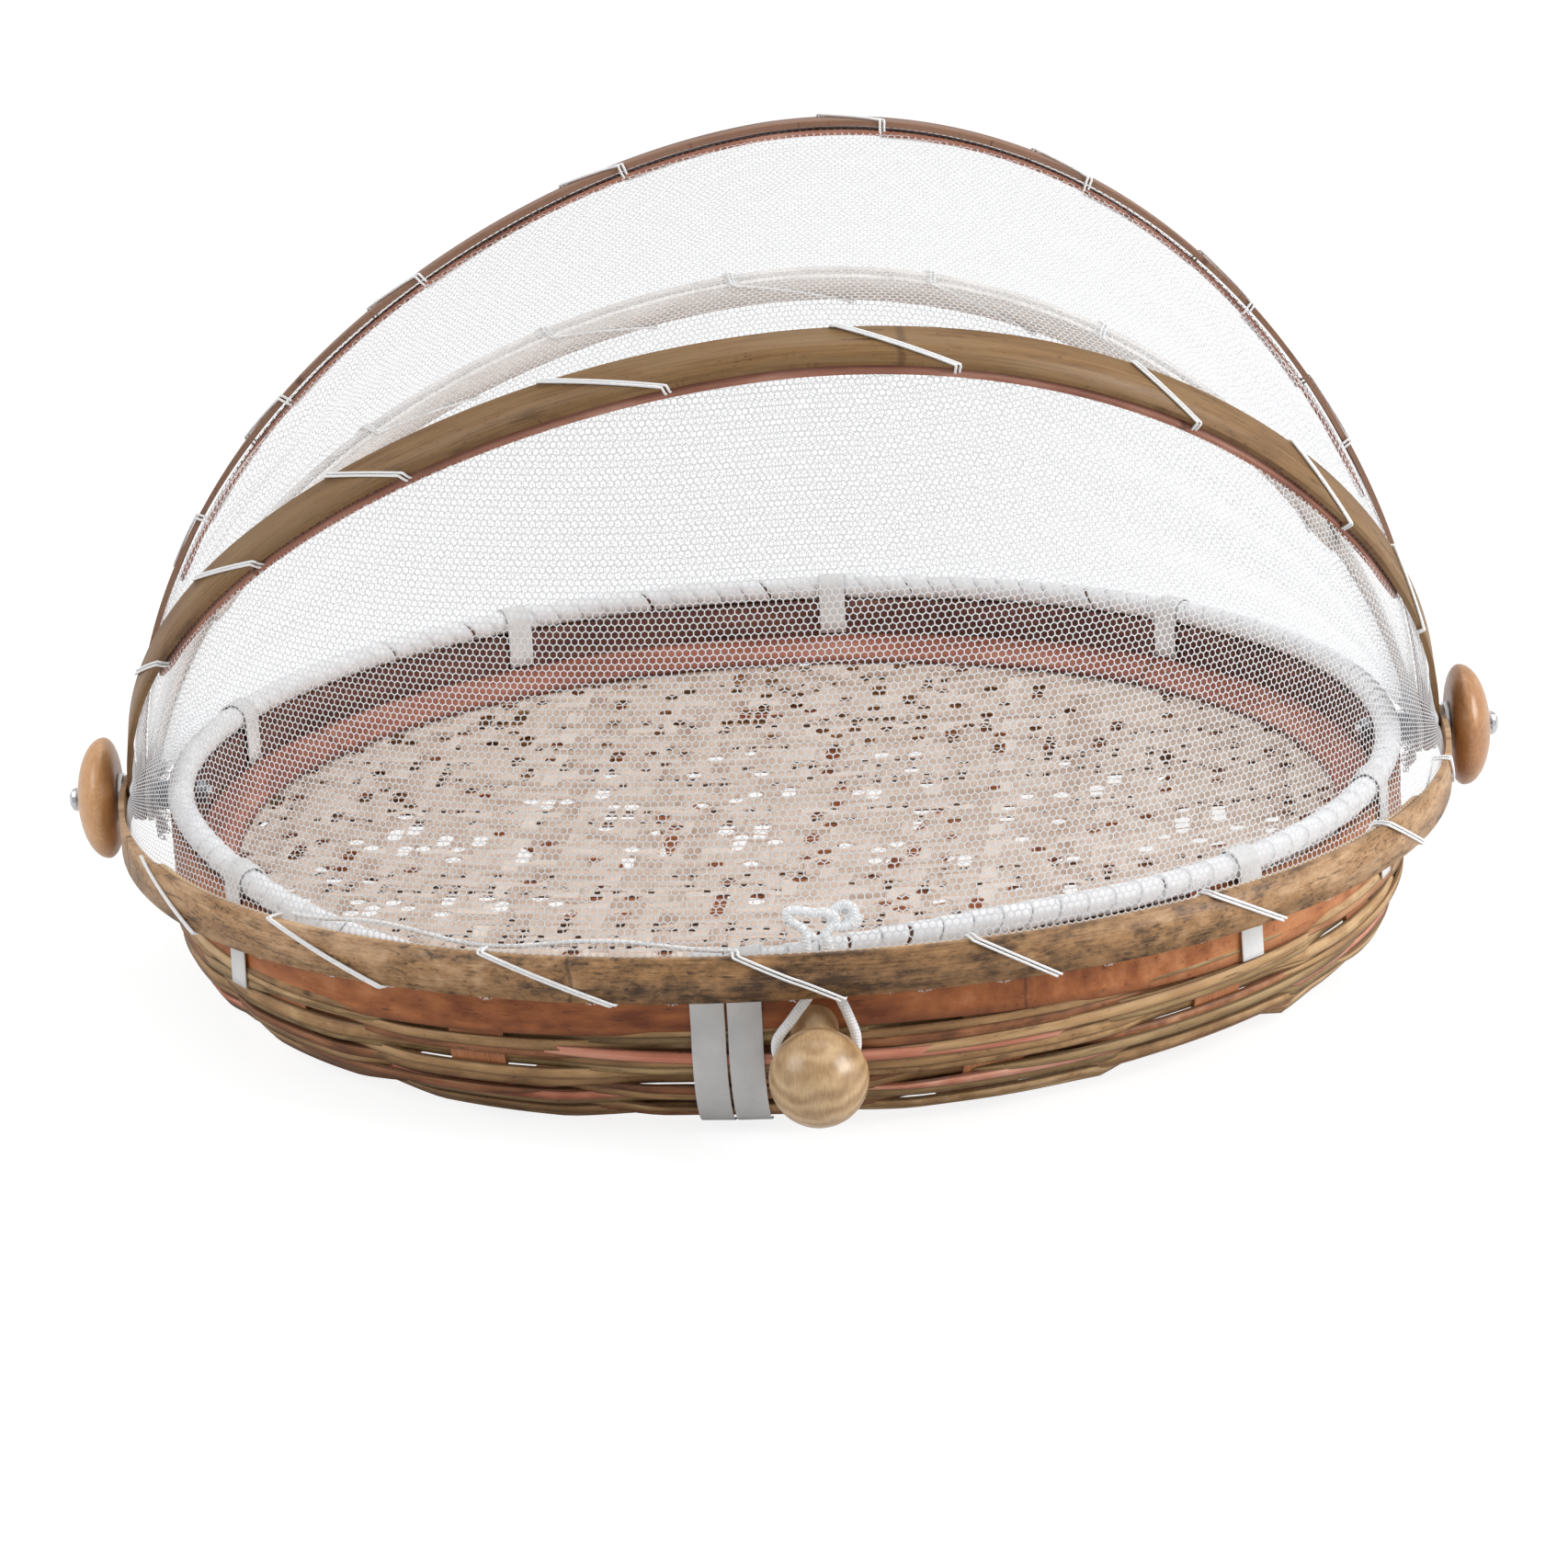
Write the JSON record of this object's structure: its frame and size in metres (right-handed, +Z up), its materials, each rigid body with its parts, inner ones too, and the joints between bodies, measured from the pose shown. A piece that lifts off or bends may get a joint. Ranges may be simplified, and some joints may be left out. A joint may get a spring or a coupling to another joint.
{
  "type": "food basket with net cover",
  "caption": "Round woven bamboo food basket with a folding net cover on bent hoops that pivot at the rim, held shut by an elastic loop on a front knob.",
  "frame": {"origin": "the table plane under the middle of the hoops' pivot axis, in the middle of the basket's base", "axes": "+Z up, +X along the pivot axis to the right as seen from the front, -Y towards the front with the knob"},
  "size_m": [0.3784, 0.3531, 0.2135],
  "materials": {
    "band_outer": "satin",
    "band_inner": "matt",
    "mat_ring": "satin",
    "stake": "satin",
    "weaver": "satin",
    "mat": "matt",
    "core": "matt",
    "ribbon": "semi-gloss",
    "hoop": "satin",
    "hoop_inner": "satin",
    "net": "fine knit",
    "elastic": "braided",
    "knob": "varnished",
    "button": "varnished",
    "chrome": "polished",
    "steel": "plain"
  },
  "bodies": {
    "basket": {"cross_strip_1": "stake", "cross_strip_2": "stake", "cross_strip_3": "stake", "long_strip_1": "stake", "long_strip_2": "stake", "long_strip_3": "stake", "long_strip_4": "stake", "long_strip_5": "stake", "weaver_row_1": "weaver", "weaver_row_2": "weaver", "weaver_row_3": "weaver", "weaver_row_4": "weaver", "weaver_row_5": "weaver", "weaver_row_6": "weaver", "weaver_row_7": "weaver", "outer_band": "band_outer", "inner_band": "band_inner", "mat_ring": "mat_ring", "woven_mat": "mat", "rim_core": "core", "rim_wrap": "ribbon", "rim_strap_1": "ribbon", "rim_strap_2": "ribbon", "rim_strap_3": "ribbon", "rim_strap_4": "ribbon", "rim_strap_5": "ribbon", "rim_strap_6": "ribbon", "rim_strap_7": "ribbon", "front_strap_left": "ribbon", "front_strap_right": "ribbon", "pivot_spacer_left": "steel", "pivot_washer_left": "chrome", "pivot_nut_left": "steel", "pivot_bolt_left": "chrome", "pivot_button_left": "button", "pivot_spacer_right": "steel", "pivot_washer_right": "chrome", "pivot_nut_right": "steel", "pivot_bolt_right": "chrome", "pivot_button_right": "button", "knob": "knob", "knob_screw": "steel"},
    "back_hoop": {"back_hoop_outer": "hoop", "back_hoop_inner": "hoop_inner", "net_back": "net"},
    "top_hoop": {"top_hoop_outer": "hoop", "top_hoop_inner": "hoop_inner", "net_rear": "net"},
    "mid_hoop": {"mid_hoop_outer": "hoop", "mid_hoop_inner": "hoop_inner", "net_upper": "net"},
    "front_hoop": {"front_hoop_outer": "hoop", "front_hoop_inner": "hoop_inner", "net_front": "net", "elastic_loop": "elastic", "elastic_knot": "elastic"}
  },
  "joints": [
    {"name": "back_hoop_fold", "type": "hinge", "parent": "basket", "child": "back_hoop", "pos_m": [0, 0, 0.045], "axis": [-1, 0, 0], "range_deg": [0, 28], "deforming": ["net_back"]},
    {"name": "top_hoop_fold", "type": "hinge", "parent": "back_hoop", "child": "top_hoop", "pos_m": [0, 0, 0.045], "axis": [-1, 0, 0], "range_deg": [0, 36], "deforming": ["net_rear"]},
    {"name": "mid_hoop_fold", "type": "hinge", "parent": "top_hoop", "child": "mid_hoop", "pos_m": [0, 0, 0.045], "axis": [-1, 0, 0], "range_deg": [0, 32], "deforming": ["net_upper"]},
    {"name": "front_hoop_fold", "type": "hinge", "parent": "mid_hoop", "child": "front_hoop", "pos_m": [0, 0, 0.045], "axis": [-1, 0, 0], "range_deg": [0, 41], "deforming": ["net_front", "elastic_loop"]}
  ]
}
